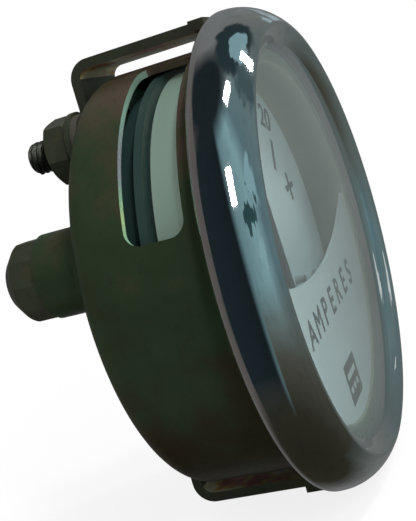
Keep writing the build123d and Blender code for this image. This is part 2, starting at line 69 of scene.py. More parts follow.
# %% [markdown]
# ## Camera
# The photograph looks at the meter from its left and a little above, close up and almost along the dial.
# The numbers below were fitted to the round rims in the picture: two angles for the direction, a roll, the
# distance and how far the view is moved aside. Three axes built from them make the camera's matrix. The
# case sits turned under the dial, and the camera was fitted in the case's own frame, so the matrix is turned
# with it. The lens follows from the focal length in pixels, since the sensor width goes with the long side.

# %% Camera
CASE_TURN = math.radians(4.5)
VIEW_AZIMUTH = -69.686
VIEW_HEIGHT = 6.6585
VIEW_ROLL = math.radians(-16.3726)
VIEW_DISTANCE = 135.53 * MM
VIEW_SIDE = -9.4526 * MM
VIEW_LIFT = -1.3861 * MM
PICTURE_HEIGHT = 521
FOCAL_PIXELS = 1110.0
NEAREST_SEEN = 0.01


def direction(azimuth, height):
    """A unit vector, from angles in degrees. Azimuth 0 is in front of the dial and 90 on its right."""
    a, h = math.radians(azimuth), math.radians(height)
    return Vector((math.sin(a) * math.cos(h), -math.cos(a) * math.cos(h), math.sin(h)))


back = direction(VIEW_AZIMUTH, VIEW_HEIGHT)
level = Vector((0, 0, 1)).cross(back).normalized()
upward = back.cross(level)
right = math.cos(VIEW_ROLL) * level + math.sin(VIEW_ROLL) * upward
top = math.cos(VIEW_ROLL) * upward - math.sin(VIEW_ROLL) * level
spot = back * VIEW_DISTANCE + right * VIEW_SIDE + top * VIEW_LIFT
axes = Matrix((right, top, back)).transposed().to_4x4()
camera = bpy.data.objects.new("camera", bpy.data.cameras.new("camera"))
camera.data.lens = FOCAL_PIXELS * camera.data.sensor_width / PICTURE_HEIGHT
camera.data.clip_start = NEAREST_SEEN
camera.matrix_world = Matrix.Rotation(CASE_TURN, 4, "Y") @ Matrix.Translation(spot) @ axes
scene.collection.objects.link(camera)
scene.camera = camera
camera_place = [round(v / MM, 1) for v in camera.matrix_world.translation]
print("camera at mm:", camera_place, "lens:", round(camera.data.lens, 1))

# %% [markdown]
# ## Shader maths as plain arithmetic
# A material in Blender is a graph: sockets joined by links. Long sums of nodes are hard to read, so a
# small class wraps one socket and gives it the usual operators. `1 - mask * 0.5` then adds two Math nodes.
# Vectors take Vector Math nodes and colours take the Mix node, because a Math node would turn them grey.
# Every other node comes from the one method `node`, which sets the settings first and the sockets after.

# %% The wire class
class Wire:
    """A socket in a material's node tree."""

    def __init__(self, tree, socket=None):
        self.tree = tree
        self.socket = socket

    def node(self, kind, settings=None, sockets=None, out=0):
        """A wire from one output of a new node."""
        made = self.tree.nodes.new("ShaderNode" + kind)
        for key, value in (settings or {}).items():
            if key == "stops":
                place_stops(made.color_ramp, value)
            else:
                setattr(made, key, value)
        for key, value in (sockets or {}).items():
            if isinstance(value, Wire):
                self.tree.links.new(value.socket, made.inputs[key])
            else:
                made.inputs[key].default_value = value
        return Wire(self.tree, made.outputs[out] if len(made.outputs) else None)

    def maths(self, operation, first, second):
        """A Math node, or a Vector Math node where either value is a vector."""
        pair = (first, second)
        if any(isinstance(v, Wire) and v.socket.type == "VECTOR" for v in pair):
            values = {i: v if isinstance(v, Wire) else (v, v, v) for i, v in enumerate(pair)}
            return self.node("VectorMath", {"operation": operation}, values)
        return self.node("Math", {"operation": operation}, {0: first, 1: second})

    def __add__(self, other):
        return self.maths("ADD", self, other)

    __radd__ = __add__

    def __mul__(self, other):
        return self.maths("MULTIPLY", self, other)

    __rmul__ = __mul__

    def __sub__(self, other):
        return self.maths("SUBTRACT", self, other)

    def __rsub__(self, other):
        return self.maths("SUBTRACT", other, self)

    def __gt__(self, other):
        return self.maths("GREATER_THAN", self, other)

    def towards(self, colour, amount):
        """This colour mixed with another, by an amount from 0 to 1."""
        return self.node("Mix", {"data_type": "RGBA"}, {0: amount, 6: self, 7: colour}, out=2)


def place_stops(band, stops):
    """Puts colour stops on a ramp's band, from pairs of a place and a colour."""
    while len(band.elements) < len(stops):
        band.elements.new(1.0)
    for element, (place, colour) in zip(band.elements, stops):
        element.position = place
        element.color = (*colour, 1.0)


def start_material(name):
    """An empty material, a wire to build from, and the place on the object in millimetres."""
    material = bpy.data.materials.new(name)
    material.use_nodes = True
    material.node_tree.nodes.clear()
    start = Wire(material.node_tree)
    return material, start, start.node("TexCoord", out="Object") * (1 / MM)


def facing(start):
    """The way that the surface faces, as a vector in the object's own axes."""
    return start.node("TexCoord", out="Normal")


def part(vector, letter):
    """The X, Y or Z of a vector."""
    return vector.node("SeparateXYZ", {}, {0: vector}, out=letter)


def dot(first, second):
    """How far the first vector reaches along the second, times the second's length."""
    return first.node("VectorMath", {"operation": "DOT_PRODUCT"}, {0: first, 1: second}, out="Value")


def noise(place, scale, detail=2.0):
    """Soft random values from 0 to 1. The scale is in patches per millimetre."""
    return place.node("TexNoise", {}, {"Vector": place, "Scale": scale, "Detail": detail})


def ramp(value, stops):
    """A colour that follows a value from stop to stop."""
    return value.node("ValToRGB", {"stops": stops}, {"Fac": value})


def levels(value, stops):
    """The same for plain numbers, such as those of a mask."""
    return ramp(value, [(place, (level, level, level)) for place, level in stops])


def two_tones(amount, first, second):
    """Two fixed colours mixed by an amount that varies."""
    return amount.node("Mix", {"data_type": "RGBA"}, {0: amount, 6: (*first, 1), 7: (*second, 1)}, out=2)


def bump(height, depth_mm, strength=1.0):
    """Fine relief for the Normal socket of a shader."""
    return height.node("Bump", {}, {"Height": height, "Distance": depth_mm * MM, "Strength": strength})


def close_material(start, shader):
    """Ties the finished shader to the material's output."""
    start.node("OutputMaterial", {}, {"Surface": shader})


print("wire class ready")

# %% [markdown]
# ## Floor and light
# The floor is a plain pale sheet under the lowest point of the object. The world is white for the camera
# and for rays that reflect or pass through glass, and a calm grey for the light that falls on surfaces, so
# the background is white without pouring more light on the meter. To the camera the floor glows almost
# white as well, and lets a little of its own paint through near the meter, which is where the shadow lies.

# %% Floor and world
FLOOR_SIZE = 4.0
FLOOR_TONE = 0.9
SHADOW_NEAR_MM = 45.0
SHADOW_FAR_MM = 130.0
SHADOW_GLOW = 0.84
SKY_LIGHT = 0.55


def make_floor():
    half = FLOOR_SIZE / 2
    low = cad_box[0][2]
    mesh = bpy.data.meshes.new("floor")
    mesh.from_pydata([(-half, -half, low), (half, -half, low), (half, half, low), (-half, half, low)],
                     [], [(0, 1, 2, 3)])
    floor = bpy.data.objects.new("floor", mesh)
    scene.collection.objects.link(floor)
    material, start, place = start_material("floor_paint")
    tone = (FLOOR_TONE, FLOOR_TONE, FLOOR_TONE, 1)
    paint = start.node("BsdfPrincipled", {}, {"Base Color": tone, "Roughness": 0.9})
    glow = start.node("Emission", {}, {"Color": (1, 1, 1, 1), "Strength": 1.0})
    seen = start.node("LightPath", out="Is Camera Ray")
    far_off = start.node("VectorMath", {"operation": "LENGTH"}, {0: place}, out="Value")
    faded = start.node("MapRange", {"interpolation_type": "SMOOTHSTEP"}, {
        "Value": far_off, "From Min": SHADOW_NEAR_MM, "From Max": SHADOW_FAR_MM,
        "To Min": SHADOW_GLOW, "To Max": 1.0})
    close_material(start, start.node("MixShader", {}, {0: seen * faded, 1: paint, 2: glow}))
    mesh.materials.append(material)
    floor.visible_glossy = False


def make_world():
    world = bpy.data.worlds.new("studio")
    world.use_nodes = True
    world.node_tree.nodes.clear()
    start = Wire(world.node_tree)
    seen = start.node("LightPath", out="Is Camera Ray")
    shiny = start.node("LightPath", out="Is Glossy Ray")
    clear = start.node("LightPath", out="Is Transmission Ray")
    white = start.maths("MAXIMUM", start.maths("MAXIMUM", seen, shiny), clear)
    strength = white * (1 - SKY_LIGHT) + SKY_LIGHT
    sky = start.node("Background", {}, {"Color": (1, 1, 1, 1), "Strength": strength})
    start.node("OutputWorld", {}, {"Surface": sky})
    scene.world = world


make_floor()
make_world()
print("floor at mm:", round(cad_box[0][2] / MM, 1))

# %% [markdown]
# ## Cloth for the chrome to mirror
# Chrome has no colour of its own: it looks like the room around it. Photographers hang dark and pale
# cloths round a shiny thing so that its shape shows. Here a large ball of cloth does that, and only
# reflections see it. It is dark above and on the left, brownish below, and pale green-blue in front. A
# patch on the rim in the photograph gives the direction that it is mirrored from, so round cloths with
# ragged edges hang there. None hangs low on the right, where the glass would mirror it over the dial.

# %% Cloth round the studio, seen in reflections only
TENT_RADIUS = 1.6
ROUND_THE_ROOM = [      # 0 and 1 are behind, 0.25 the left, 0.5 in front of the dial, 0.75 the right
    (0.00, (0.120, 0.112, 0.108)), (0.15, (0.105, 0.098, 0.095)), (0.18, (0.014, 0.024, 0.028)),
    (0.33, (0.010, 0.016, 0.020)), (0.355, (0.140, 0.250, 0.275)), (0.44, (0.230, 0.400, 0.430)),
    (0.49, (0.110, 0.190, 0.215)), (0.56, (0.135, 0.205, 0.215)), (0.66, (0.110, 0.145, 0.150)),
    (0.73, (0.170, 0.185, 0.180)), (0.79, (0.180, 0.190, 0.195)), (0.90, (0.130, 0.128, 0.122)),
]
NEAR_THE_FLOOR = [      # 0 is straight down, 0.5 level
    (0.00, (0.022, 0.020, 0.014)), (0.08, (0.030, 0.030, 0.022)), (0.20, (0.062, 0.064, 0.052)),
    (0.34, (0.105, 0.122, 0.108)),
]
# These masks go by the rise, where 0.5 is level and 1 overhead. LOW_CLOTH_ROUND goes round the room.
LOW_CLOTH = [(0.25, 1), (0.36, 0.7), (0.48, 0)]
LOW_CLOTH_ROUND = [(0.345, 0), (0.355, 1), (0.62, 1), (0.72, 0.2), (0.95, 0)]
LOWEST_CLOTH = [(0.06, 1), (0.18, 0)]
CEILING = (0.013, 0.020, 0.023, 1)
CEILING_FROM = [(0.93, 0), (0.975, 1)]
FOLD_SCALE = 9.0
FOLD_DEPTH = 0.5
RAG_SCALE = 7.0
RAG_DEPTH = 0.06
HUNG_CLOTHS = [         # azimuth, elevation, radius, soft edge in degrees, colour: later ones hang in front
    (62, 50, 21, 4, (0.022, 0.038, 0.043)),
    (34, 40, 14, 5, (0.060, 0.098, 0.108)),
    (58, 46, 11, 2, (0.215, 0.360, 0.400)),
    (-8, 25, 11, 4, (0.235, 0.400, 0.440)),
    (-32, 20, 6, 1.5, (0.028, 0.068, 0.072)),
    (-21, 20, 6.5, 1.5, (0.028, 0.068, 0.072)),
    (-11, 18, 5, 1.5, (0.040, 0.085, 0.092)),
    (-21, 6, 7, 3, (0.250, 0.430, 0.460)),
    (88, 14, 9, 4, (0.340, 0.440, 0.470)),
    (94, -22, 4, 1.5, (0.800, 0.820, 0.820)),
    (21, 4, 4, 2, (0.620, 0.680, 0.690)),
    (34, 12, 3, 1.5, (0.700, 0.740, 0.750)),
]


def make_tent():
    mesh = bpy.data.meshes.new("tent")
    form = bmesh.new()
    bmesh.ops.create_uvsphere(form, u_segments=48, v_segments=24, radius=TENT_RADIUS)
    form.to_mesh(mesh)
    form.free()
    tent = bpy.data.objects.new("tent", mesh)
    scene.collection.objects.link(tent)
    material, start, place = start_material("tent_cloth")
    across = start.node("TexCoord", out="Object") * (1 / TENT_RADIUS)
    side, depth, rise = [part(across, letter) for letter in "XYZ"]
    turn = start.maths("ARCTAN2", side, 0 - depth) * (0.5 / math.pi) + 0.5
    rise = rise * 0.5 + 0.5
    cloth = ramp(turn, ROUND_THE_ROOM)
    low = levels(rise, LOW_CLOTH) * levels(turn, LOW_CLOTH_ROUND)
    lowest = levels(rise, LOWEST_CLOTH)
    cloth = cloth.towards(ramp(rise, NEAR_THE_FLOOR), start.maths("MAXIMUM", low, lowest))
    cloth = cloth.towards(CEILING, levels(rise, CEILING_FROM))
    folds = (noise(across, FOLD_SCALE, 3.0) - 0.5) * FOLD_DEPTH + 1
    cloth = cloth.towards((0, 0, 0, 1), 1 - folds)
    ragged = (noise(across, RAG_SCALE, 4.0) - 0.5) * RAG_DEPTH
    for azimuth, height, radius, soft, colour in HUNG_CLOTHS:
        near = dot(across, direction(azimuth, height))
        edge = math.cos(math.radians(radius))
        inside = math.cos(math.radians(max(0, radius - soft)))
        mask = start.node("MapRange", {"interpolation_type": "SMOOTHSTEP"}, {
            "Value": near + ragged, "From Min": edge, "From Max": inside})
        cloth = cloth.towards((*colour, 1), mask)
    close_material(start, start.node("Emission", {}, {"Color": cloth, "Strength": 1.0}))
    mesh.materials.append(material)
    for ray in ("camera", "diffuse", "shadow", "transmission", "volume_scatter"):
        setattr(tent, "visible_" + ray, False)


make_tent()
print("tent radius:", TENT_RADIUS)

# %% [markdown]
# ## Lamps
# Three soft lamps stand in front and above. In the photograph three hard white patches lie on the rim, and
# each one is the mirror image of a window. The rim's shape is known, so each patch gives a direction, and
# that is where the lamp stands. All three lean the same way, as the patches do. An area lamp's light and
# its mirror image come from the same panel.

# %% Lamps
LAMP_DISTANCE = 0.45
LAMP_LEAN = -13.0
LAMPS = [               # name, azimuth and elevation in degrees, width and height in metres, watts
    ("window_left", -48, 38, 0.065, 0.115, 0.80),
    ("window_top", 9, 63, 0.090, 0.045, 0.80),
    ("window_right", 46, 40, 0.034, 0.105, 0.70),
]


def make_lamp(name, azimuth, height, width, tall, watts):
    light = bpy.data.lights.new(name, "AREA")
    light.shape = "RECTANGLE"
    light.size = width
    light.size_y = tall
    light.energy = watts
    lamp = bpy.data.objects.new(name, light)
    way = direction(azimuth, height)
    lamp.location = way * LAMP_DISTANCE
    lean = Quaternion((0, 0, 1), math.radians(LAMP_LEAN))
    lamp.rotation_euler = (way.to_track_quat("Z", "Y") @ lean).to_euler()
    scene.collection.objects.link(lamp)


for lamp_values in LAMPS:
    make_lamp(*lamp_values)
print("lamps:", len(LAMPS))

# %% [markdown]
# ## Yellow passivated zinc
# Small steel parts are plated with zinc and dipped in a chromate bath. The film it leaves is thinner than a
# wave of light, so it shows olive, yellow, rose and violet where its thickness drifts. Slow noise stands for
# that drift and a colour ramp turns it into the film's colours. A little roughness noise and a fine bump
# keep it from looking like paint. The cup's colour also follows its height, as painted light: rose and
# lighter at the top, green in the middle and darker brown below. The cut edge of its slots is bare metal
# with a painted highlight, and the inside of the strap has a painted reflection in rose and yellow.

# %% Zinc finishes
ZINC_SHINE = 0.85
PATCH_SHARE = 0.28
CUP_HEIGHT = 60.0
INSIDE_FROM = 8.0       # minus the height in mm times the upward part of the way that a face looks
INSIDE_DULLING = 0.5
EDGE_FROM = 0.6         # share of straight to the front
EDGE_DULLING = 0.6
EDGE_HEIGHT = 26.0
SPECK_COLOUR = (0.07, 0.06, 0.045, 1)
SPECK_SHARE = 0.35
SPECKS = [(0.60, 0), (0.72, 1)]


def zinc(name, stops, drift, rough, cut_edge=None, lift=0.0, inner=None):
    """Zinc plate under a chromate film. Lift is how much painted light follows the height, lighter at the
    top.
    Faces that look straight to the front can be bare cut metal with a painted highlight, and faces that look
    inward can have stops of their own, for a painted reflection."""
    material, start, place = start_material(name)
    slow = noise(place, drift, 2.0)
    patch = noise(place, drift * 4, 3.0)
    grain = noise(place, 2.6, 3.0)
    height = part(place, "Z")
    rise = height * (1 / CUP_HEIGHT) + 0.5
    # painted light: rise times lift makes the cup lighter and rose towards the top, darker brown below
    film = slow * (1 - PATCH_SHARE - lift) + patch * PATCH_SHARE + rise * lift
    colour = ramp(film, stops)
    shine = ZINC_SHINE
    if inner:
        # painted reflection: faces of the strap that look inward take far lighter rose and yellow stops
        inward = (0 - part(facing(start), "Z") * height) > INSIDE_FROM
        colour = colour.towards(ramp(patch, inner), inward)
        shine = ZINC_SHINE - inward * INSIDE_DULLING
    speck = levels(noise(place, 0.9, 5.0), SPECKS)
    colour = colour.towards(SPECK_COLOUR, speck * SPECK_SHARE)
    if cut_edge:
        # painted highlight: the bare cut edge that faces the front is drawn bright green and yellow
        bare = (0 - part(facing(start), "Y")) > EDGE_FROM
        colour = colour.towards(ramp(height * (1 / EDGE_HEIGHT), cut_edge), bare)
        shine = ZINC_SHINE - bare * EDGE_DULLING
    shader = start.node("BsdfPrincipled", {}, {
        "Base Color": colour, "Metallic": shine, "Roughness": grain * 0.22 + rough,
        "Normal": bump(grain, 0.02, 0.5),
    })
    close_material(start, shader)
    return material


OLIVE_FILM = [
    (0.36, (0.085, 0.068, 0.038)), (0.44, (0.090, 0.086, 0.046)), (0.50, (0.082, 0.122, 0.062)),
    (0.57, (0.085, 0.138, 0.070)), (0.63, (0.140, 0.145, 0.080)), (0.70, (0.200, 0.145, 0.105)),
]
DULL_FILM = [
    (0.30, (0.110, 0.080, 0.070)), (0.45, (0.115, 0.120, 0.085)), (0.58, (0.120, 0.145, 0.095)),
    (0.72, (0.160, 0.150, 0.080)),
]
THREAD_FILM = [
    (0.35, (0.038, 0.038, 0.031)), (0.65, (0.060, 0.066, 0.050)),
]
# film colours drawn far lighter, a painted reflection on the inside of the strap
INNER_FILM_AND_REFLECTION = [
    (0.36, (0.50, 0.18, 0.14)), (0.45, (0.58, 0.40, 0.13)), (0.53, (0.60, 0.58, 0.34)),
    (0.64, (0.48, 0.56, 0.42)),
]
# painted highlight on the bare cut edge of the slots, changing with height
BARE_EDGE_HIGHLIGHT = [           # from the axis up to the top of the case
    (0.28, (0.34, 0.62, 0.52)), (0.38, (0.40, 0.76, 0.50)), (0.46, (0.68, 0.96, 0.44)),
    (0.54, (0.38, 0.72, 0.46)), (0.62, (0.36, 0.40, 0.45)), (0.72, (0.32, 0.36, 0.39)),
    (0.82, (0.24, 0.42, 0.34)), (0.95, (0.20, 0.32, 0.25)),
]
# the case's lift of 0.46 paints light that grows towards the top of the cup
zinc_case = zinc("zinc_case", OLIVE_FILM, 0.045, 0.30, cut_edge=BARE_EDGE_HIGHLIGHT, lift=0.46)
zinc_bracket = zinc("zinc_bracket", DULL_FILM, 0.07, 0.32, inner=INNER_FILM_AND_REFLECTION)
zinc_lamp = zinc("zinc_lamp_shell", DULL_FILM, 0.11, 0.28)
zinc_small = zinc("zinc_fasteners", DULL_FILM, 0.16, 0.28)
zinc_thread = zinc("zinc_thread", THREAD_FILM, 0.16, 0.34)
print("zinc finishes: 5")

# %% [markdown]
# ## Chrome, brass, steel and the rest
# Chrome is a smooth mirror with faint smears, which show in its roughness. Brass and steel parts inside get
# turning marks. The dial plates are matt white paint, a little cool and dusty, with a very fine grain.

# %% Other metals
SMEAR_TONE = 0.86


def plain_metal(name, colour, rough, mark_scale, smear=0.1, wave=0.008):
    """A metal with smears in its roughness, and a bump of the given scale and depth in millimetres."""
    material, start, place = start_material(name)
    smears = noise(place, 0.35, 3.0)
    marks = noise(place, mark_scale, 2.0)
    tone = two_tones(smears, [c * SMEAR_TONE for c in colour], colour)
    shader = start.node("BsdfPrincipled", {}, {
        "Base Color": tone, "Metallic": 1.0, "Roughness": smears * smear + rough,
        "Normal": bump(marks, wave, 0.5),
    })
    close_material(start, shader)
    return material


chrome = plain_metal("bezel_chrome", (0.84, 0.84, 0.84), 0.015, 0.22, smear=0.05, wave=0.02)
brass = plain_metal("turned_brass", (0.72, 0.55, 0.27), 0.26, 3.0)
# dark grey-green brass for the frame, posts and bar inside the case
dull_brass = plain_metal("dark_brass", (0.17, 0.185, 0.135), 0.42, 2.0)
steel = plain_metal("bright_steel", (0.55, 0.55, 0.52), 0.28, 3.0)
magnet_metal = plain_metal("magnet_alloy", (0.26, 0.26, 0.28), 0.42, 2.0)
print("metals: 5")

# %% [markdown]
# ## Paint, plastic, rubber, ink
# These don't conduct, so they shine without metal colour. Each gets its own noise in colour and roughness.
# The light ring is milky plastic: a Translucent shader mixed in lets light from outside glow through it.
# More of it is mixed in on faces that look inward, because that is where the photograph shows the glow.

# %% Paint, plastic, rubber and ink
GLOW_COLOUR = (0.93, 0.95, 0.86, 1)
INNER_FACE_FROM = 1.0   # minus the way that a face looks, times its place in mm


def coated(name, colour, tone, rough, grain_mm, scale=1.5, milky=None, gloss=0.0):
    """A surface that isn't metal: two tones of a colour, noise in its gloss and a fine grain.
    Milky gives the share of light let through, on faces that look outward and on those that look inward."""
    material, start, place = start_material(name)
    clouds = noise(place, 0.12, 4.0)
    grain = noise(place, scale, 3.0)
    shader = start.node("BsdfPrincipled", {}, {
        "Base Color": two_tones(clouds, tone, colour), "Roughness": grain * 0.15 + rough,
        "Coat Weight": gloss, "Coat Roughness": 0.08, "Normal": bump(grain, grain_mm, 0.6),
    })
    if milky:
        through = start.node("BsdfTranslucent", {}, {"Color": GLOW_COLOUR})
        inward = (0 - dot(facing(start), place)) > INNER_FACE_FROM
        share = inward * (milky[1] - milky[0]) + milky[0]
        shader = start.node("MixShader", {}, {0: share, 1: shader, 2: through})
    close_material(start, shader)
    return material


dial_paint = coated("dial_white", (0.66, 0.78, 0.81), (0.58, 0.68, 0.71), 0.55, 0.004, 4.0)
ring_plastic = coated("ring_plastic", (0.33, 0.49, 0.43), (0.27, 0.41, 0.36), 0.40, 0.01, 1.2,
                      milky=(0.62, 0.85), gloss=0.6)
gasket_rubber = coated("gasket_rubber", (0.10, 0.15, 0.155), (0.06, 0.09, 0.095), 0.6, 0.02)
fibre = coated("insulating_fibre", (0.060, 0.055, 0.040), (0.035, 0.032, 0.025), 0.6, 0.03, 2.4)
screen_plastic = coated("screen_plastic", (0.018, 0.046, 0.041), (0.011, 0.028, 0.026), 0.35, 0.01, 1.2)
ink = coated("printing_ink", (0.055, 0.064, 0.068), (0.10, 0.11, 0.11), 0.55, 0.004, 3.0)
pointer_lacquer = coated("pointer_lacquer", (0.03, 0.03, 0.03), (0.05, 0.05, 0.05), 0.4, 0.004)
print("coated finishes: 7")

# %% [markdown]
# ## Glass
# Real glass bends the light that goes through it. The plates behind were placed where they appear through
# the glass, so bending them again would move them. A Transparent shader leaves them in place, and a glossy
# one is mixed in by Fresnel, which makes glass mirror more at a low angle. The photograph looks along the
# pane and shows the dial dim behind it, so the pane mirrors three times as strongly as clean glass. It
# mirrors at its front face and from outside alone. Light that bounced about inside it would leave false
# lines on the dial.

# %% Glass
def clear_glass(name, tint, rough, strength, pane=False):
    """Clear glass, whose mirroring is strength times that of clean glass. A pane mirrors in front only."""
    material, start, place = start_material(name)
    through = start.node("BsdfTransparent", {}, {"Color": (*tint, 1)})
    dust = noise(place, 0.25, 4.0)
    shine = start.node("BsdfGlossy", {}, {"Color": (1, 1, 1, 1), "Roughness": dust * 0.05 + rough})
    mirror = start.node("Fresnel", {}, {"IOR": 1.45}) * strength
    if pane:
        in_front = (0 - part(facing(start), "Y")) > 0.5
        mirror = mirror * in_front * (1 - start.node("NewGeometry", out="Backfacing"))
    close_material(start, start.node("MixShader", {}, {0: mirror, 1: through, 2: shine}))
    return material


dial_glass = clear_glass("dial_glass", (0.95, 0.985, 0.975), 0.02, 3.0, pane=True)
bulb_glass = clear_glass("bulb_glass", (0.95, 0.95, 0.92), 0.03, 0.75)
print("glasses: 2")

# %% [markdown]
# ## Finishes on the CAD nodes
# The meter is made of 37 kinds of piece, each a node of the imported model. A node keeps its mesh and its
# place and only gets another material in its slots. A table says which finish goes where.

# %% Give the nodes their finishes
NODE_FINISH = {
    "case": zinc_case, "bracket": zinc_bracket, "lamp_holder": zinc_lamp,
    "hex_nuts": zinc_small, "terminal_washers": zinc_small, "spring_washer": zinc_small,
    "bracket_spacer": zinc_small, "frame_screws": zinc_small, "terminal_studs": zinc_small,
    "bracket_stud": zinc_small, "bezel": chrome, "glass": dial_glass, "gasket": gasket_rubber,
    "light_ring": ring_plastic, "light_screen": screen_plastic,
    "mask_plate": dial_paint, "scale_plate": dial_paint,
    "stop_pins": steel, "dial_screws": steel, "staff": steel, "armature": steel,
    "dial_posts": dull_brass, "counterweight": brass, "front_bush": brass, "foot_bearing": brass,
    "frame_plate": dull_brass, "bridge": dull_brass, "frame_posts": dull_brass, "current_bar": dull_brass,
    "lamp_contact": brass, "bulb_base": brass, "magnet": magnet_metal, "pointer": pointer_lacquer,
    "terminal_bushes": fibre, "inner_washers": fibre, "contact_ring": fibre, "bulb": bulb_glass,
}
for node_name, node_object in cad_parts.items():
    node_object.data.materials.clear()
    node_object.data.materials.append(NODE_FINISH[node_name])
print("finished nodes:", len(NODE_FINISH))

# %% [markdown]
# ## Making meshes
# Round parts are turned: an outline of radius and Y swept round the axis. The helper makes rings of points
# and joins them with quads. Smooth shading with sharp edges above an angle keeps curves soft and corners
# crisp. Every new piece is then tied to the body that it rides on and given its material.

# %% Mesh helpers
def add_piece(name, points, faces, material, body, slot_name, sharp=35):
    """A new object from points in millimetres, riding on a body."""
    mesh = bpy.data.meshes.new(name)
    mesh.from_pydata([Vector(p) * MM for p in points], [], faces)
    form = bmesh.new()
    form.from_mesh(mesh)
    bmesh.ops.recalc_face_normals(form, faces=form.faces)
    form.to_mesh(mesh)
    form.free()
    mesh.shade_smooth()
    mesh.set_sharp_from_angle(angle=math.radians(sharp))
    mesh.materials.append(material)
    piece = bpy.data.objects.new(name, mesh)
    scene.collection.objects.link(piece)
    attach(piece, body)
    return piece


def lathe(outline, count, centre=(0.0, 0.0)):
    """Points and quads of a closed outline of (radius, y), swept round the axis through centre."""
    points = []
    faces = []
    rows = len(outline)
    for j in range(count):
        a = 2 * math.pi * j / count
        for r, y in outline:
            points.append((centre[0] + r * math.cos(a), y, centre[1] + r * math.sin(a)))
    for j in range(count):
        k = (j + 1) % count
        for i in range(rows):
            m = (i + 1) % rows
            faces.append((j * rows + i, j * rows + m, k * rows + m, k * rows + i))
    return points, faces


def join(*shapes):
    """Several lists of points and faces as one."""
    points = []
    faces = []
    for more_points, more_faces in shapes:
        faces += [tuple(i + len(points) for i in face) for face in more_faces]
        points += more_points
    return points, faces


def turned_place(x, z):
    """A place in the case's own frame, turned to where the case sits."""
    c, s = math.cos(CASE_TURN), math.sin(CASE_TURN)
    return x * c + z * s, z * c - x * s


print("mesh helpers ready")

# %% [markdown]
# ## Screw thread
# The terminals and the bracket's stud are M4: outer diameter 4 mm, pitch 0.7 mm. A thread is one ridge wound
# round a core, so the radius at each point depends on its height and its angle together. A grid of points
# that follows that rule gives a true helix. The last turns run down into a chamfer, as a cut end does.

# %% Studs with thread
PITCH = 0.7
THREAD_DEPTH = 0.38
CREST = 0.8             # under 1 makes the crest of the thread narrower than its root
STUD_RADIUS = 2.0
STUD_CHAMFER = 0.5
HEAD_MIDDLE = 0.01      # radius where the head's outline meets its axis
ROUND = 48
STEPS = 8


def threaded_stud(x, z, y0, y1, head_r, head_t):
    """An M4 shank from y0 to the tip at y1, with a round head in front of y0."""
    rows = max(2, int((y1 - y0) / PITCH * STEPS))
    points = []
    faces = []
    for i in range(rows + 1):
        y = y0 + (y1 - y0) * i / rows
        for j in range(ROUND):
            phase = ((y - y0) / PITCH - j / ROUND) % 1.0
            r = STUD_RADIUS - THREAD_DEPTH * (1 - abs(2 * phase - 1)) ** CREST
            r = min(r, STUD_RADIUS - STUD_CHAMFER + (y1 - y))
            a = 2 * math.pi * j / ROUND
            points.append((x + r * math.cos(a), y, z + r * math.sin(a)))
    for i in range(rows):
        for j in range(ROUND):
            k = (j + 1) % ROUND
            faces.append((i * ROUND + j, i * ROUND + k, (i + 1) * ROUND + k, (i + 1) * ROUND + j))
    faces.append(tuple(range(ROUND)))
    faces.append(tuple(range(rows * ROUND, (rows + 1) * ROUND)))
    front = y0 - head_t
    head = lathe([(HEAD_MIDDLE, front), (head_r, front), (head_r, y0), (HEAD_MIDDLE, y0)], ROUND, (x, z))
    return join((points, faces), head)


def stud_ends(node):
    """Front of the shank and its tip, read from the node's box, in millimetres."""
    low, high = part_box(node)
    return low.y / MM, high.y / MM


TERMINAL_SIDE = 10.0
TERMINAL_RISE = 18.9
TERMINAL_HEAD = (3.2, 1.8)      # radius and thickness
BRACKET_HEAD = (3.5, 1.0)
front, tip = stud_ends("terminal_studs")
places = [turned_place(side * TERMINAL_SIDE, TERMINAL_RISE) for side in (-1, 1)]
studs = join(*[threaded_stud(x, z, front + TERMINAL_HEAD[1], tip, *TERMINAL_HEAD) for x, z in places])
piece = add_piece("terminal_studs_threaded", *studs, zinc_thread, "housing", "steel", sharp=50)
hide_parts("terminal_studs")
front, tip = stud_ends("bracket_stud")
stud = threaded_stud(0, 0, front + BRACKET_HEAD[1], tip, *BRACKET_HEAD)
piece = add_piece("bracket_stud_threaded", *stud, zinc_thread, "housing", "steel", sharp=50)
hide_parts("bracket_stud")
print("threaded studs: 3, pitch", PITCH)

# %% [markdown]
# ## Print on the dial
# A dial is silk-screened: flat, even ink with clean edges. A Text object would do for a number, but its mesh
# can also be bent and placed freely, so each word is turned into flat faces, moved into place point by point
# and given a hair of thickness. Ink spreads, so the letters are a little fat. A text curve has an offset for
# that, but it turns tiny steps in a letter inside out, so those are merged first and each corner is moved
# outward here.

# %% Print helpers
CAPITAL = 0.70         # height of a capital at text size 1
TINY_STEP = 0.004      # at text size 1
CURVE_STEPS = 5
INK_T = 0.03
MERGE_M = 1e-7
INK_SPREAD = 0.028     # how far the ink runs out of the letter, as a part of its height
SHARPEST = 0.4         # keeps the point of a sharp corner short


def spread(form, width):
    """Moves the outline of flat faces outward in their own plane."""
    ways = {}
    for edge in form.edges:
        if edge.is_boundary:
            here = edge.link_loops[0]
            ends = (here.vert, here.link_loop_next.vert)
            along = (ends[1].co - ends[0].co).normalized()
            for point in ends:
                ways.setdefault(point, []).append(Vector((along.y, -along.x, 0)))
    for point, (one, two) in ways.items():
        point.co += (one + two) * (width / max(SHARPEST, 1 + one.dot(two)))


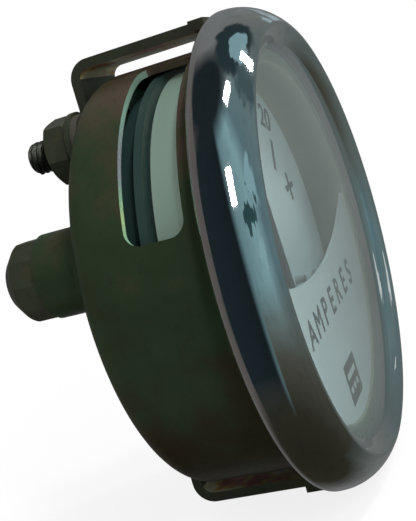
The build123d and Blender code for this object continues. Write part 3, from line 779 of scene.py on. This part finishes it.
def letters(word, height):
    """Flat faces of a word, centred, with capitals of the given height in millimetres."""
    curve = bpy.data.curves.new("word", "FONT")
    curve.body = word
    curve.align_x = "CENTER"
    curve.size = height / CAPITAL
    curve.resolution_u = CURVE_STEPS
    shape = bpy.data.objects.new("word", curve)
    mesh = bpy.data.meshes.new_from_object(shape)
    form = bmesh.new()
    form.from_mesh(mesh)
    bmesh.ops.remove_doubles(form, verts=form.verts, dist=TINY_STEP * curve.size)
    spread(form, INK_SPREAD * height)
    form.verts.index_update()
    points = [(v.co.x, v.co.y - height / 2) for v in form.verts]
    faces = [tuple(v.index for v in face.verts) for face in form.faces]
    form.free()
    bpy.data.objects.remove(shape)
    bpy.data.meshes.remove(mesh)
    return points, faces


def bar(width, height):
    """A flat bar about the origin."""
    w, h = width / 2, height / 2
    return [(-w, -h), (w, -h), (w, h), (-w, h)], [(0, 1, 2, 3)]


def placed(shape, x, z, angle=0.0):
    """A flat shape moved to x and z, turned clockwise by an angle in degrees."""
    points, faces = shape
    a = math.radians(angle)
    c, s = math.cos(a), math.sin(a)
    return [(x + u * c + v * s, z + v * c - u * s) for u, v in points], faces


def printed(name, shapes, front_y):
    """One piece of ink from flat shapes, standing a hair in front of the plate at front_y."""
    points, faces = join(*shapes)
    mesh = bpy.data.meshes.new(name)
    mesh.from_pydata([(x * MM, front_y * MM, z * MM) for x, z in points], [], faces)
    form = bmesh.new()
    form.from_mesh(mesh)
    bmesh.ops.remove_doubles(form, verts=form.verts, dist=MERGE_M)
    pushed = bmesh.ops.extrude_face_region(form, geom=form.faces[:])
    for item in pushed["geom"]:
        if isinstance(item, bmesh.types.BMVert):
            item.co.y -= INK_T * MM
    bmesh.ops.recalc_face_normals(form, faces=form.faces)
    form.to_mesh(mesh)
    form.free()
    mesh.materials.append(ink)
    piece = bpy.data.objects.new(name, mesh)
    scene.collection.objects.link(piece)
    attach(piece, "housing")


print("print helpers ready")

# %% [markdown]
# ### The scale
# The scale has a mark and a number at each end and zero at the top. The marks lie on a circle about the
# pointer's staff. The minus and plus signs under them say which way the current flows.

# %% Numbers and marks on the scale
PIVOT_Z = -8.0
FULL_SCALE = 31.4
TICK_IN = 19.2
TICK_OUT = 23.4
TICK_W = 0.8
NUMBER_H = 3.0
NUMBER_PLACE = (12.3, 15.1)
NUMBER_LEAN = 26.0
ZERO_GAP = 2.6
SIGN_PLACE = (14.1, 5.2)
SIGN_SIZE = (3.8, 0.8)
PLUS_ARM = (0.8, 1.5)


def tick(angle):
    """A mark of the scale, at an angle from the upright."""
    a = math.radians(angle)
    mid = (TICK_IN + TICK_OUT) / 2
    return placed(bar(TICK_W, TICK_OUT - TICK_IN), mid * math.sin(a), PIVOT_Z + mid * math.cos(a), angle)


scale_marks = [tick(angle) for angle in (-FULL_SCALE, 0, FULL_SCALE)]
for side in (-1, 1):
    number = letters("20", NUMBER_H)
    scale_marks.append(placed(number, side * NUMBER_PLACE[0], NUMBER_PLACE[1], side * NUMBER_LEAN))
scale_marks.append(placed(letters("0", NUMBER_H), 0, PIVOT_Z + TICK_OUT + ZERO_GAP))
arm_off = (SIGN_SIZE[1] + PLUS_ARM[1]) / 2
scale_marks.append(placed(bar(*SIGN_SIZE), *SIGN_PLACE))
for side in (1, -1):
    scale_marks.append(placed(bar(*PLUS_ARM), SIGN_PLACE[0], SIGN_PLACE[1] + side * arm_off))
scale_marks.append(placed(bar(*SIGN_SIZE), -SIGN_PLACE[0], SIGN_PLACE[1]))
scale_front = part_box("scale_plate")[0].y / MM
printed("scale_print", scale_marks, scale_front)
print("marks on the scale:", len(scale_marks))

# %% [markdown]
# ### The mask
# The mask carries the name of the unit in wide capitals at an even step. Under it is a dark patch. On the
# real dial it holds a maker's sign, which isn't copied: here it holds the plain sign for direct current, a
# line over three dashes. The plate shows through as the sign, so the patch is built row by row from bars of
# ink with gaps between them.

# %% Word and patch on the mask
LETTER_H = 3.2
LETTER_STEP = 4.1
WORD_PLACE = (-12.3, -7.5)        # of the first letter
SYMBOL_PLACE = (-1.0, -17.6)
SYMBOL_ROWS = [         # rows of the patch: height, then widths of ink and of bare plate in turn
    (1.3, (6.2,)),
    (0.8, (0.8, 4.6, 0.8)),
    (0.9, (6.2,)),
    (0.8, (0.8, 1.2, 0.5, 1.2, 0.5, 1.2, 0.8)),
    (1.3, (6.2,)),
]
mask_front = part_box("mask_plate")[0].y / MM
mask_marks = []
for i, letter in enumerate("AMPERES"):
    mask_marks.append(placed(letters(letter, LETTER_H), WORD_PLACE[0] + LETTER_STEP * i, WORD_PLACE[1]))
z = SYMBOL_PLACE[1] + sum(row[0] for row in SYMBOL_ROWS) / 2
for height, widths in SYMBOL_ROWS:
    x = SYMBOL_PLACE[0] - sum(widths) / 2
    for i, width in enumerate(widths):
        if i % 2 == 0:
            mask_marks.append(placed(bar(width, height), x + width / 2, z - height / 2))
        x += width
    z -= height
printed("mask_print", mask_marks, mask_front)
print("marks on the mask:", len(mask_marks))
